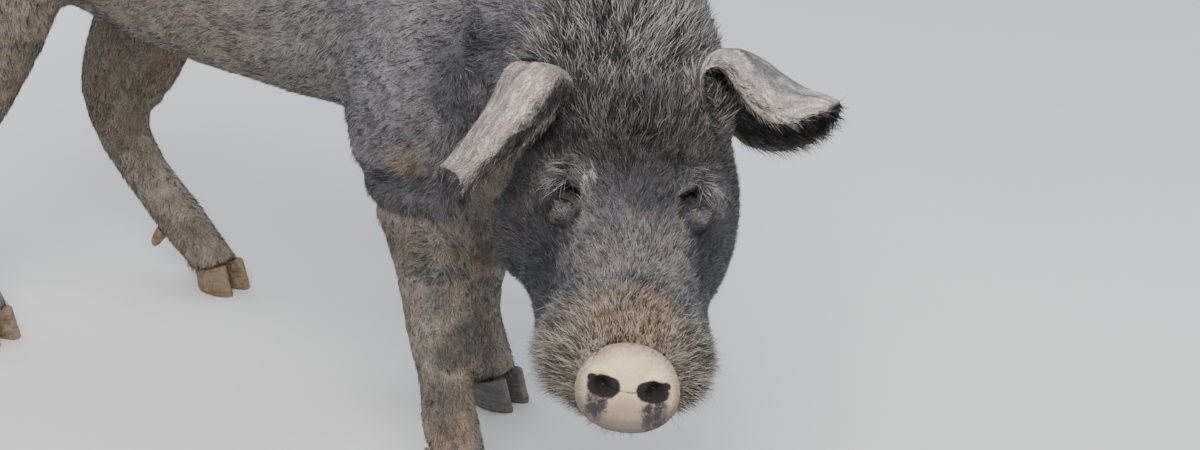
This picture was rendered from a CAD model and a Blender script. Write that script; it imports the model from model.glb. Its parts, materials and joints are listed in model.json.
"""The looks of a still, life-size lean black pig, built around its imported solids.

One skin replaces the solids of flesh and lies inside them by the depth of the coat. Lids, folds and
wrinkles are worked into it, and the coat stands on it as joined meshes of small tapering hairs. The
ears are curved sheets that grow out of the same skin. Eyes, snout disc and claws are pieces of their
own. Metres, +Z up; the pig faces -Y. Places on the head are in the head's own frame: X to the pig's
left, Y back along the skull, Z up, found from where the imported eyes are.
"""

import json
import math

import bmesh
import bpy
import numpy as np
from mathutils import Matrix, Vector
from mathutils.bvhtree import BVHTree

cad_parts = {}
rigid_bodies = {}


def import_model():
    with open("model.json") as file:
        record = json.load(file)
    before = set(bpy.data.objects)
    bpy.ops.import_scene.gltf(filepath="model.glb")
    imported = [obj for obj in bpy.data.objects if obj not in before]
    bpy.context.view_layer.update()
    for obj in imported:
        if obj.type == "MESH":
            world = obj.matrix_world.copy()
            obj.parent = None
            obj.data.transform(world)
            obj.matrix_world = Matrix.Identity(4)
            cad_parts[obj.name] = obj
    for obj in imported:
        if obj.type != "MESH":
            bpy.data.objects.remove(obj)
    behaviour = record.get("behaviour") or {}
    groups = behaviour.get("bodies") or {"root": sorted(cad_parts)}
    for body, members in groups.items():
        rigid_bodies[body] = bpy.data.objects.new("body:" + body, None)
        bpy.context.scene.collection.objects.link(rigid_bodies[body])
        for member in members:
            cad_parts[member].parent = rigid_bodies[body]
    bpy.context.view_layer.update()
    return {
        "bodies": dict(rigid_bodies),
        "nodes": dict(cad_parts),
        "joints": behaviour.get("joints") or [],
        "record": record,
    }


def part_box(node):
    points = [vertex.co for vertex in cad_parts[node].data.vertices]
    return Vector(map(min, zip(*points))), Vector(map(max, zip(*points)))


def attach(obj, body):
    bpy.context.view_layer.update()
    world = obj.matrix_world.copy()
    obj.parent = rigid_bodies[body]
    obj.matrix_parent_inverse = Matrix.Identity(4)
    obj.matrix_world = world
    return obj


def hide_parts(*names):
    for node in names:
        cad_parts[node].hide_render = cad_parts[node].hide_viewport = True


SEED = 7
BODY = "root"
SIDES = {"right": -1, "left": 1}
FEET = tuple((side, end) for side in SIDES for end in ("fore", "hind"))
LIMB_PIECES = tuple(f"{side}_{end}_{half}" for side, end in FEET for half in ("upper", "lower"))
FLESH = ("head", "lower_jaw", "neck", "trunk", "tail", *LIMB_PIECES)
EARS = ("ear_right", "ear_left")
EYES = ("eye_right", "eye_left")

# The head's frame
HEAD_TURN = math.radians(-55)
HEAD_DROP = math.radians(11)
HEAD_ROLL = math.radians(6)
EYE_PLACE = (0.0544, 0.2069, 0.0390)
EYE_TILT = 0.0030  # the left eye sits this much higher, the right one lower
EYE_RADIUS = 0.0125
DISC_LEAN = math.radians(27)
DISC_TWIST = math.radians(2.5)
DISC_SIZE = (0.086, 0.074, 0.012)

# Camera, from the middle of the snout disc's face
CAMERA_REACH = Vector((-1.1657, -0.8035, 0.7244))
CAMERA_TURN = (math.radians(67.7), 0.0, math.radians(-54.5))
CAMERA_LENS = 58.66

# Skin
CHEEK_LEAN = -0.0060  # both cheeks are moved to the pig's right of the skull's middle
GROWTH = 0.0006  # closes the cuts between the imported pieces
BLEND_STEP = 0.0045
BLEND_SMOOTHING = 8

# Ears, from root to tip: the fold's crest, the front rim and the rear rim
RIGHT_EAR = (  # in millimetres, in the head's frame (out, back, up)
    ((67, 338, 92), (50, 325, 62), (83, 363, 58)),
    ((90, 324, 114), (66, 308, 88), (113, 352, 74)),
    ((108, 301, 107), (81, 285, 79), (129, 330, 68)),
    ((122, 275, 91), (99, 262, 65), (140, 300, 60)),
    ((137, 256, 75), (118, 246, 52), (152, 277, 50)),
    ((149, 243, 60), (134, 236, 41), (163, 257, 45)),
    ((161, 236, 46), (149, 231, 34), (170, 245, 42)),
)
LEFT_EAR = (
    ((50, 347, 80), (72, 294, 68), (66, 354, 50)),
    ((60, 347, 122), (55, 317, 116), (84, 362, 46)),
    ((78, 345, 135), (72, 322, 129), (100, 370, 32)),
    ((102, 343, 132), (95, 319, 104), (118, 373, 19)),
    ((125, 337, 119), (118, 313, 86), (143, 372, 18)),
    ((147, 328, 108), (140, 308, 86), (166, 365, 30)),
    ((166, 319, 107), (160, 306, 97), (182, 352, 52)),
    ((183, 312, 106), (176, 308, 103), (188, 330, 84)),
)
EAR_ROWS = {"right": RIGHT_EAR, "left": LEFT_EAR}
EAR_THICKNESS = (0.0052, 0.0034)  # at the root and towards the tip
EAR_SHOULDER = (0.70, 0.22)  # how far out and how far down the sheet is between crest and rim
EAR_ACROSS = 33
EAR_STEPS = 6


# ---- numbers and noise


def smoothstep(low, high, value):
    t = np.clip((value - low) / (high - low), 0.0, 1.0)
    return t * t * (3 - 2 * t)


def bell(value, width):
    return np.exp(-((value / width) ** 2))


def lattice(cell, seed):
    """A repeatable number from -1 to 1 for each whole-numbered point."""
    mixed = cell[:, 0] * 374761393 + cell[:, 1] * 668265263 + cell[:, 2] * 1442695041 + seed * 1274126177
    mixed = (mixed ^ (mixed >> 13)) & 0xFFFFFFFF
    mixed = (mixed * 1103515245 + 12345) & 0xFFFFFFFF
    mixed ^= mixed >> 15
    return (mixed & 0xFFFF) / 32767.5 - 1.0


def noise(points, scale, seed=0):
    """Smooth noise from -1 to 1 whose bumps are about `scale` across."""
    place = points / scale + 1000.5
    cell = np.floor(place).astype(np.int64)
    t = place - cell
    t = t * t * (3 - 2 * t)
    total = np.zeros(len(points))
    for corner in np.ndindex(2, 2, 2):
        share = np.prod(np.where(np.array(corner) == 1, t, 1 - t), axis=1)
        total += share * lattice(cell + np.array(corner), seed)
    return total


def unit(vectors):
    return vectors / np.maximum(np.linalg.norm(vectors, axis=-1, keepdims=True), 1e-9)


def metres(millimetres):
    return np.array(millimetres) / 1000


def along_surface(directions, normals):
    """The directions with their part along the normals taken out."""
    return unit(directions - normals * np.sum(directions * normals, axis=1, keepdims=True))


# ---- frames


def middle(node):
    low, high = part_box(node)
    return (low + high) / 2


def head_frame():
    turn = Matrix.Rotation(HEAD_TURN, 4, "Z")
    turn = turn @ Matrix.Rotation(HEAD_DROP, 4, "X") @ Matrix.Rotation(HEAD_ROLL, 4, "Y")
    between_eyes = (middle("eye_left") + middle("eye_right")) / 2
    origin = between_eyes - turn @ Vector((0, EYE_PLACE[1], EYE_PLACE[2]))
    return Matrix.Translation(origin) @ turn


def disc_frame(head):
    lean = Matrix.Rotation(-DISC_LEAN, 4, "X")
    twist = Matrix.Rotation(DISC_TWIST, 4, "Y")
    return head @ lean @ twist


def to_local(points, matrix):
    back = np.array(matrix.inverted())
    return points @ back[:3, :3].T + back[:3, 3]


def to_world(points, matrix):
    place = np.array(matrix)
    return points @ place[:3, :3].T + place[:3, 3]


def turned(vectors, matrix):
    return vectors @ np.array(matrix)[:3, :3].T


def eye_place(side):
    return Vector((side * EYE_PLACE[0], EYE_PLACE[1], EYE_PLACE[2] + side * EYE_TILT))


def eye_frame(side, head):
    """Middle of the eyeball: X along the slit (back on the left, forward on the right), Y up, Z out."""
    out = Vector((side * 0.84, -0.36, 0.40)).normalized()
    back = Vector((side * 0.53, 0.78, -0.33))
    back = (back - out * back.dot(out)).normalized()
    up = out.cross(back) * side
    turn = Matrix((back * side, up, out)).transposed().to_4x4()
    return head @ Matrix.Translation(eye_place(side)) @ turn


# ---- meshes


def add_object(name, mesh):
    thing = bpy.data.objects.new(name, mesh)
    bpy.context.scene.collection.objects.link(thing)
    return thing


def evaluated_mesh(thing):
    """The object's mesh with its modifiers applied; the object goes."""
    graph = bpy.context.evaluated_depsgraph_get()
    graph.update()
    mesh = bpy.data.meshes.new_from_object(thing.evaluated_get(graph))
    bpy.data.objects.remove(thing)
    return mesh


def mesh_from(bm, name):
    mesh = bpy.data.meshes.new(name)
    bm.to_mesh(mesh)
    bm.free()
    return mesh


def remeshed(mesh, step, rounds):
    """The mesh rebuilt with even faces of one size, then smoothed."""
    thing = add_object(mesh.name, mesh)
    remesh = thing.modifiers.new("Even", "REMESH")
    remesh.mode = "VOXEL"
    remesh.voxel_size = step
    smooth = thing.modifiers.new("Smooth", "SMOOTH")
    smooth.factor = 0.5
    smooth.iterations = rounds
    return evaluated_mesh(thing)


def pulled(items, name, width, kind):
    """A property of all the items, as rows of numbers."""
    flat = np.zeros(len(items) * width, kind)
    items.foreach_get(name, flat)
    return flat.reshape(-1, width)


def points_of(mesh):
    return pulled(mesh.vertices, "co", 3, float)


def normals_of(mesh):
    return pulled(mesh.vertex_normals, "vector", 3, np.float32).astype(float)


def triangles_of(mesh):
    mesh.calc_loop_triangles()
    return pulled(mesh.loop_triangles, "vertices", 3, np.int32)


def edges_of(mesh):
    return pulled(mesh.edges, "vertices", 2, np.int32)


def move_points(mesh, points):
    mesh.vertices.foreach_set("co", points.astype(np.float32).ravel())
    mesh.update()


def relaxed(values, edges, weight, rounds):
    """Each value drawn towards the mean of its neighbours', by its weight, again and again."""
    count = len(values)
    both = np.concatenate((edges, edges[:, ::-1]))
    degree = np.maximum(np.bincount(both[:, 0], minlength=count), 1)
    for _ in range(rounds):
        mean = np.stack([np.bincount(both[:, 0], column[both[:, 1]], count) for column in values.T], 1)
        values = values + weight[:, None] * (mean / degree[:, None] - values)
    return values


def array_mesh(name, points, triangles):
    """A mesh of triangles straight from arrays."""
    mesh = bpy.data.meshes.new(name)
    mesh.vertices.add(len(points))
    mesh.vertices.foreach_set("co", points.astype(np.float32).ravel())
    mesh.loops.add(len(triangles) * 3)
    mesh.loops.foreach_set("vertex_index", triangles.astype(np.int32).ravel())
    mesh.polygons.add(len(triangles))
    mesh.polygons.foreach_set("loop_start", np.arange(len(triangles), dtype=np.int32) * 3)
    mesh.update(calc_edges=True)
    return mesh


def set_masks(mesh, masks):
    for name, values in masks.items():
        attribute = mesh.attributes.new(name, "FLOAT", "POINT")
        attribute.data.foreach_set("value", values.astype(np.float32))


def spline(rows, steps):
    """A smooth curve (Catmull-Rom) through rows of numbers, `steps` to a span."""
    rows = np.array(rows, dtype=float)
    padded = np.vstack([2 * rows[0] - rows[1], rows, 2 * rows[-1] - rows[-2]])
    result = []
    for i in range(len(rows) - 1):
        before, start, end, after = padded[i : i + 4]
        for t in np.arange(steps) / steps:
            pull = -before + 3 * start - 3 * end + after
            bend = 2 * before - 5 * start + 4 * end - after
            result.append(0.5 * (2 * start + (end - before) * t + bend * t**2 + pull * t**3))
    result.append(rows[-1])
    return np.array(result)


def grid_quads(index):
    """The quads between rows of point numbers."""
    corners = (index[:-1, :-1], index[:-1, 1:], index[1:, 1:], index[1:, :-1])
    return np.stack(corners, -1).reshape(-1, 4).tolist()


# ---- ears


EAR_TIP_REACH = 0.25  # how far the closed tip reaches past the last row, in rows
EAR_TIP_SIZE = 0.85  # as a share of the last row's


def ear_grid(side, head):
    """The middle sheet of an ear, rows from root to tip and columns from front rim to rear rim."""
    out, down = EAR_SHOULDER
    share = np.array((out, out, down))
    rows = spline(metres(EAR_ROWS[side]).reshape(-1, 9), EAR_STEPS).reshape(-1, 3, 3)
    rows = rows * (SIDES[side], 1, 1)
    grid = []
    for crest, front, rear in rows:
        knots = (front, crest + share * (front - crest), crest, crest + share * (rear - crest), rear)
        curve = spline(knots, 16)
        length = np.concatenate(([0], np.cumsum(np.linalg.norm(np.diff(curve, axis=0), axis=1))))
        places = np.linspace(0, length[-1], EAR_ACROSS)
        grid.append(np.stack([np.interp(places, length, curve[:, axis]) for axis in range(3)], 1))
    grid = np.array(grid)
    return to_world(grid.reshape(-1, 3), head).reshape(grid.shape)


def grid_normals(grid):
    """Unit normals of a sheet, pointing out of its upper face."""
    down_rows = np.gradient(grid, axis=0)
    across = np.gradient(grid, axis=1)
    return unit(np.cross(across, down_rows))


def ear_solid(side, head):
    """The sheet with its thickness and round rims, closed at root and tip."""
    grid = ear_grid(side, head)
    rows, columns = grid.shape[:2]
    normals = grid_normals(grid) * SIDES[side]
    share = np.linspace(0, 1, rows)[:, None, None]
    half = (EAR_THICKNESS[0] + (EAR_THICKNESS[1] - EAR_THICKNESS[0]) * np.minimum(share * 2, 1)) / 2
    half = half * np.ones((rows, columns, 1))
    outer = grid + normals * half
    inner = (grid - normals * half)[:, ::-1]
    front_edge = unit(grid[:, :1] - grid[:, 1:2]) * half[:, :1]
    rear_edge = unit(grid[:, -1:] - grid[:, -2:-1]) * half[:, :1]
    rings = np.concatenate((outer, grid[:, -1:] + rear_edge, inner, grid[:, :1] + front_edge), axis=1)
    tip_middle = grid[-1].mean(0)
    tip = rings[-1] + (tip_middle - grid[-2].mean(0)) * EAR_TIP_REACH
    tip = tip_middle + (tip - tip_middle) * EAR_TIP_SIZE
    rings = np.concatenate((rings, tip[None]), axis=0)
    bm = bmesh.new()
    verts = [[bm.verts.new(point) for point in ring] for ring in rings.tolist()]
    count = len(verts[0])
    for ring, following in zip(verts, verts[1:]):
        for i in range(count):
            j = (i + 1) % count
            bm.faces.new((ring[i], ring[j], following[j], following[i]))
    for ring in (verts[0], verts[-1]):  # strips across the thickness close the ends
        for i in range(columns - 1):
            j = 2 * columns - i
            bm.faces.new((ring[i], ring[i + 1], ring[j - 1], ring[j]))
        bm.faces.new((ring[columns - 1], ring[columns], ring[columns + 1]))
        bm.faces.new((ring[2 * columns], ring[2 * columns + 1], ring[0]))
    bmesh.ops.recalc_face_normals(bm, faces=bm.faces)
    return mesh_from(bm, "ear")


class EarSheet:
    """Finds where on an ear a point lies: along, across and which face."""

    def __init__(self, side, head):
        grid = ear_grid(side, head)
        self.rows, self.columns = grid.shape[:2]
        self.points = grid.reshape(-1, 3)
        self.quads = grid_quads(np.arange(len(self.points)).reshape(self.rows, self.columns))
        self.tree = BVHTree.FromPolygons(self.points.tolist(), self.quads)
        self.sign = -SIDES[side]

    def place(self, points):
        """Arrays of along (0 root, 1 tip), across (0 front rim, 1 back rim) and face (1 outer)."""
        found = np.zeros((len(points), 3))
        for i, point in enumerate(points):
            near, normal, face, _ = self.tree.find_nearest(point)
            corners = self.quads[face]
            weights = [1 / (1e-6 + (near - Vector(self.points[c])).length) for c in corners]
            row = sum(w * (c // self.columns) for w, c in zip(weights, corners)) / sum(weights)
            column = sum(w * (c % self.columns) for w, c in zip(weights, corners)) / sum(weights)
            outer = (Vector(point) - near).dot(normal) * self.sign
            found[i] = (row / (self.rows - 1), column / (self.columns - 1), outer)
        return found.T


# ---- skin


def blended_flesh(frame):
    """All the solids of flesh as one smooth closed form, with their thin cuts closed."""
    bm = bmesh.new()
    for name in FLESH + EYES:  # the eyeballs fill their sockets until the lids are shaped
        bm.from_mesh(frame["nodes"][name].data)
    bmesh.ops.remove_doubles(bm, verts=bm.verts, dist=1e-6)
    bm.normal_update()
    for vert in bm.verts:
        vert.co += vert.normal * GROWTH
    return remeshed(mesh_from(bm, "flesh"), BLEND_STEP, BLEND_SMOOTHING)


def with_ears(flesh, head):
    """The flesh and both ears as one closed skin."""
    thing = add_object("skin", flesh)
    ears = [add_object("ear", ear_solid(side, head)) for side in SIDES]
    for ear in ears:
        union = thing.modifiers.new("Ear", "BOOLEAN")
        union.operation = "UNION"
        union.object = ear
    mesh = evaluated_mesh(thing)
    for ear in ears:
        bpy.data.objects.remove(ear)
    return mesh


FACE_EDGE = 0.0022  # longer edges on the face are cut in two
EYE_REACHES = (0.034, 0.025)


def finer_head(mesh, head):
    """The skin's faces on head, neck and ears cut finer, and twice again round the eyes."""
    bm = bmesh.new()
    bm.from_mesh(mesh)
    back = head.inverted()
    local = {vert: back @ vert.co for vert in bm.verts}
    edges = [e for e in bm.edges if is_face(local[e.verts[0]]) and e.calc_length() > FACE_EDGE]
    bmesh.ops.subdivide_edges(bm, edges=edges, cuts=1, use_grid_fill=True)
    for side in SIDES.values():
        centre = head @ eye_place(side)
        for reach in EYE_REACHES:
            edges = [e for e in bm.edges if (e.verts[0].co - centre).length < reach]
            bmesh.ops.subdivide_edges(bm, edges=edges, cuts=1, use_grid_fill=True)
    bmesh.ops.triangulate(bm, faces=bm.faces)
    bm.to_mesh(mesh)
    bm.free()
    return mesh


def is_face(place):
    return place.y < 0.37 and abs(place.x) < 0.22 and place.z > -0.15


def nearest_nodes(frame, points, names):
    """The index in `names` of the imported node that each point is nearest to."""
    corners, faces, owners = [], [], []
    for index, name in enumerate(names):
        mesh = frame["nodes"][name].data
        start = len(corners)
        corners += [v.co.copy() for v in mesh.vertices]
        faces += [[start + v for v in face.vertices] for face in mesh.polygons]
        owners += [index] * len(mesh.polygons)
    tree = BVHTree.FromPolygons(corners, faces)
    return np.array([owners[tree.find_nearest(point)[2]] for point in points.tolist()])


class Skin:
    """The skin's arrays while its form is worked."""

    def __init__(self, mesh, frame, head):
        self.mesh = mesh
        self.head = head
        self.points = points_of(mesh)
        self.edges = edges_of(mesh)
        self.triangles = triangles_of(mesh)
        names = FLESH + EARS
        owner = nearest_nodes(frame, self.points, names)
        self.owner = {name: owner == index for index, name in enumerate(names)}
        self.ears = self.owner["ear_right"] | self.owner["ear_left"]
        self.sheets = {side: EarSheet(side, head) for side in SIDES}
        self.sheet = np.zeros((len(self.points), 3))  # metres along and across an ear; 1 on its outer face
        self.refresh()

    def refresh(self):
        move_points(self.mesh, self.points)
        self.normals = normals_of(self.mesh)
        self.local = to_local(self.points, self.head)
        self.tree = BVHTree.FromPolygons(self.points.tolist(), self.triangles.tolist())

    def raise_by(self, height):
        self.points = self.points + self.normals * height[:, None]

    def on_head(self):
        """1 on head, jaw and ears, 0 elsewhere, with a soft border on the neck."""
        near = (np.abs(self.local[:, 0]) < 0.24) & (self.local[:, 2] > -0.17)
        return smoothstep(0.42, 0.33, self.local[:, 1]) * near

    def on_ear(self, side):
        """An ear's points, and how far along, across and out of its sheet each lies."""
        mine = np.flatnonzero(self.owner["ear_" + side])
        return mine, *self.sheets[side].place(self.points[mine].tolist())

    def from_eye(self, side):
        """Each point's place along, across and out of an eye, and how far it is from the middle."""
        along, across, out = to_local(self.points, eye_frame(SIDES[side], self.head)).T
        return along, across, out, np.hypot(along, across)

    def snapped(self, path, matrix):
        """A smooth path with its points brought onto the skin."""
        path = spline(path, 5)
        if matrix is not None:
            path = to_world(path, matrix)
        return np.array([self.tree.find_nearest(point)[0] for point in path.tolist()])


def distance_to_path(points, path, reach):
    """Each point's distance to a line of short segments, or infinity outside its reach."""
    result = np.full(len(points), np.inf)
    low, high = path.min(0) - reach, path.max(0) + reach
    near = np.flatnonzero(np.all((points > low) & (points < high), axis=1))
    for start, end in zip(path, path[1:]):
        span = end - start
        share = np.clip((points[near] - start) @ span / max(span @ span, 1e-12), 0, 1)
        away = np.linalg.norm(points[near] - start - share[:, None] * span, axis=1)
        result[near] = np.minimum(result[near], away)
    return result


FOLD_LIP = 0.4  # the swelling either side, as a share of the groove's depth


def fold(skin, path, depth, width, matrix=None):
    """A groove along a path on the skin, with a soft swelling either side, fading at its ends."""
    path = skin.snapped(path, matrix)
    away = distance_to_path(skin.points, path, width * 5)
    near = np.isfinite(away)
    ends = np.minimum(*(np.linalg.norm(skin.points[near] - path[i], axis=1) for i in (0, -1)))
    fade = smoothstep(0, width * 4, ends + width)
    profile = FOLD_LIP * bell(away[near] - 2.2 * width, width) - bell(away[near], width)
    height = np.zeros(len(away))
    height[near] = depth * fade * profile
    skin.raise_by(height)


def in_box(node, places):
    """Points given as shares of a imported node's box."""
    low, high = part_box(node)
    return [tuple(low[i] + place[i] * (high[i] - low[i]) for i in range(3)) for place in places]


HEAD_FOLDS = (  # path in the head's frame (mm), depth and width in metres, both sides
    (((-46, 246, 70), (-22, 258, 80), (2, 263, 80), (28, 262, 80), (50, 258, 70)),
     0.0016, 0.0032, False),  # brow
    (((-30, 285, 90), (0, 296, 90), (32, 288, 90)), 0.0009, 0.0036, False),
    (((-30, 29, 30), (0, 34, 40), (30, 29, 30)), 0.0011, 0.0022, False),  # over the disc
    (((-36, 42, 30), (0, 48, 40), (36, 42, 30)), 0.0009, 0.0024, False),
    (((-30, 60, 30), (0, 65, 40), (30, 60, 30)), 0.0006, 0.0028, False),
    (((0, 6, -44), (28, 12, -43), (50, 40, -46), (64, 85, -50), (70, 130, -55), (73, 162, -54)),
     0.0042, 0.0022, True),  # mouth
    (((76, 168, -62), (79, 160, -50), (77, 166, -38)), 0.0016, 0.003, True),
    (((72, 205, 20), (78, 180, 4), (77, 150, -10)), 0.0012, 0.004, True),  # cheek
    (((76, 222, 18), (84, 205, -4), (83, 180, -20)), 0.001, 0.004, True),
    (((30, 215, 60), (40, 185, 48), (50, 150, 36)), 0.0014, 0.006, True),
    (((98, 330, 20), (104, 338, -30), (80, 340, -80)), 0.004, 0.008, True),  # behind the jaw
)
BODY_FOLDS = (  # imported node, path as shares of its box, depth, width
    ("right_fore_upper", ((0.30, 1.0, 1.02), (0.02, 0.60, 1.04), (0.05, 0.25, 1.10), (0.45, 0.0, 1.06)),
     0.0034, 0.0100),
    ("right_fore_upper", ((0.35, 1.0, 0.80), (0.03, 0.55, 0.82), (0.15, 0.12, 0.80), (0.60, 0.03, 0.68)),
     0.0030, 0.0070),
    ("left_fore_upper", ((0.70, 1.0, 1.02), (0.98, 0.60, 1.02), (0.90, 0.22, 1.08)), 0.0060, 0.0075),
    ("neck", ((0.04, 0.42, 0.60), (0.12, 0.50, 0.42), (0.20, 0.60, 0.24), (0.34, 0.72, 0.10)),
     0.0060, 0.012),
    ("neck", ((0.02, 0.62, 0.62), (0.05, 0.68, 0.44), (0.12, 0.80, 0.26)), 0.0045, 0.013),
    ("neck", ((0.80, 0.30, 0.50), (0.92, 0.46, 0.30), (0.90, 0.60, 0.14)), 0.0035, 0.012),
    ("trunk", ((0.06, 0.74, 0.42), (0.02, 0.70, 0.30), (0.10, 0.66, 0.20)), 0.0050, 0.014),
    ("trunk", ((0.94, 0.72, 0.42), (0.98, 0.68, 0.30), (0.90, 0.64, 0.20)), 0.0050, 0.014),
    ("right_hind_lower", ((0.0, 0.30, 0.80), (0.30, 0.05, 0.78), (0.90, 0.10, 0.80)), 0.0022, 0.0050),
    ("left_hind_lower", ((1.0, 0.42, 0.80), (0.60, 0.25, 0.76), (0.0, 0.40, 0.80)), 0.0022, 0.0050),
    ("right_fore_lower", ((0.0, 0.35, 0.93), (0.35, 0.0, 0.92), (0.95, 0.20, 0.93)), 0.0016, 0.0045),
    ("right_fore_lower", ((0.0, 0.42, 0.72), (0.35, 0.10, 0.70), (0.95, 0.30, 0.72)), 0.0014, 0.0045),
    ("left_fore_lower", ((0.0, 0.35, 0.93), (0.45, 0.0, 0.92), (0.95, 0.30, 0.93)), 0.0016, 0.0045),
)

LID_THICKNESS = 0.0019
SLIT_DEPTH = 0.0017  # how far below the eyeball the skin dips inside the slit
SLIT_HALF_LENGTH = 0.0125
SLIT_HALF_HEIGHT = 0.0012
SLIT_RAISED = 0.0048  # the slit runs above the middle of the ball


EYE_FORMS_END = 0.040  # the eye's forms and marks end this far from its middle
SOCKET_DEPTH = 0.0100
HOLLOW_DEPTH = 0.0085  # between the lid and the brow
BROW_HEIGHT = 0.0070
CORNER_DEPTH = 0.0040  # a dent at the slit's -X end
LASH_LINE = 0.0007  # the height of the rim along the slit
LID_FORMS = (  # height, place of the middle line and its curve, width, length
    (0.0026, -0.0125, 12, 0.0046, 0.012),  # the bag, with a crease below it and two above the slit
    (-0.0022, -0.0200, 14, 0.0022, 0.015),
    (-0.0019, 0.0098, -14, 0.0017, 0.013),
    (-0.0012, 0.0150, -12, 0.0018, 0.013),
)


def slit_lines(along):
    """Middle height and half-height of the slit between the lids at a place along it."""
    middle_line = SLIT_RAISED - 9.0 * along**2
    half = SLIT_HALF_HEIGHT * np.sqrt(np.maximum(1 - (along / SLIT_HALF_LENGTH) ** 2, 0))
    return middle_line, half


def socket_ring(along, across, reach, radius, width, least):
    """A ring round the eye, strongest above it and towards -X, with its least share opposite."""
    inward = (across - 0.75 * along) / np.maximum(reach, 1e-6)
    return bell(reach - radius, width) * (least + (1 - least) * smoothstep(-0.4, 0.9, inward))


def brow_hollow(along, across, length, width):
    """1 in the hollow between lid and brow, 0 outside it."""
    return np.exp(-(np.hypot((along + 0.002) / length, (across - 0.0140) / width) ** 4))


def shape_eye(skin, side):
    """Socket, lids over the ball with a narrow slit, brow, creases and the bag below."""
    along, across, out, reach = skin.from_eye(side)
    near = (reach < EYE_FORMS_END) & (out > -0.022) & (out < 0.034)
    shaped = out - SOCKET_DEPTH * socket_ring(along, across, reach, 0.0175, 0.0048, 0.30)
    shaped -= HOLLOW_DEPTH * brow_hollow(along, across, 0.0165, 0.0075)
    shaped += BROW_HEIGHT * bell(across - 0.0260, 0.0065) * bell(along + 0.002, 0.021)
    ball = np.sqrt(np.maximum((EYE_RADIUS + LID_THICKNESS) ** 2 - reach**2, 0)) - 0.0006
    over_ball = (shaped + ball + np.hypot(shaped - ball, 0.002)) / 2
    shaped = np.where(reach < EYE_RADIUS * 1.12, over_ball, shaped)
    for height, line, curve, width, length in LID_FORMS:
        shaped += height * bell(across - line - curve * along**2, width) * bell(along, length)
    shaped -= CORNER_DEPTH * bell(np.hypot(along + 0.0155, across - 0.0005), 0.0040)
    middle_line, half = slit_lines(along)
    from_slit = np.abs(across - middle_line) - half
    within = np.abs(along) < SLIT_HALF_LENGTH
    shaped += LASH_LINE * bell(from_slit - 0.0013, 0.0010) * within
    floor = np.sqrt(np.maximum((EYE_RADIUS - SLIT_DEPTH) ** 2 - reach**2, 0))
    shaped += smoothstep(0.0004, -0.0004, from_slit) * within * (np.minimum(floor, shaped) - shaped)
    height = out + smoothstep(EYE_FORMS_END, 0.028, reach) * (shaped - out)
    moved = to_world(np.stack((along, across, height), 1), eye_frame(SIDES[side], skin.head))
    shaped_points = np.where(near[:, None], moved, skin.points)
    skin.points = relaxed(shaped_points, skin.edges, 0.5 * smoothstep(0.030, 0.020, reach) * near, 4)


EAR_ROOT = 0.020  # how far from an ear the skin is smoothed into it
EAR_LENGTH = 0.15  # length and width give the ears' veins their scale
EAR_WIDTH = 0.055


def shape_ears(skin):
    """Smooth roots, beaded rims, a long crease and low ridges on the outer face."""
    for side in SIDES:
        is_ear = skin.owner["ear_" + side]
        around = np.zeros(len(skin.points))
        low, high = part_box("ear_" + side)
        above = skin.points > np.array(low) - EAR_ROOT
        below = skin.points < np.array(high) + EAR_ROOT
        close = np.all(above & below, axis=1)
        for i in np.flatnonzero(close & ~is_ear):
            away = skin.sheets[side].tree.find_nearest(skin.points[i])[3]
            around[i] = smoothstep(EAR_ROOT, 0.006, away)
        mine, along, across, outer = skin.on_ear(side)
        around[mine] = smoothstep(0.34, 0.16, along)
        face = np.where(outer > 0, 1.0, 0.0)
        skin.sheet[mine] = np.stack((along * EAR_LENGTH, across * EAR_WIDTH, face), 1)
        skin.points = relaxed(skin.points, skin.edges, 0.6 * around, 14)
        skin.points = relaxed(skin.points, skin.edges, 0.35 * is_ear, 2)
        skin.refresh()
        height = np.zeros(len(skin.points))
        rim = np.maximum(bell(across, 0.03), bell(1 - across, 0.03)) * smoothstep(0.1, 0.3, along)
        crease = bell(across - 0.66 + 0.10 * along, 0.020) * smoothstep(0.2, 0.45, along)
        ridges = 0.5 * bell(across - 0.44, 0.05) + 0.4 * bell(across - 0.25 - 0.05 * along, 0.04)
        inner = -0.4 * np.cos(across * 40) * smoothstep(0.1, 0.3, along) * (1 - face)
        height[mine] = 0.0006 * rim + face * (0.0007 * ridges - 0.0014 * crease) + 0.0004 * inner
        skin.raise_by(height + 0.0004 * noise(skin.points, 0.012, 5) * is_ear)
        skin.refresh()


def coat_depth(skin):
    """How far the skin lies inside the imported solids."""
    head = skin.on_head()
    body = 0.0042 * smoothstep(0.10, 0.40, skin.points[:, 2]) + 0.0016
    return np.where(skin.ears, 0.0, body * (1 - head) + 0.0018 * head)


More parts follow.
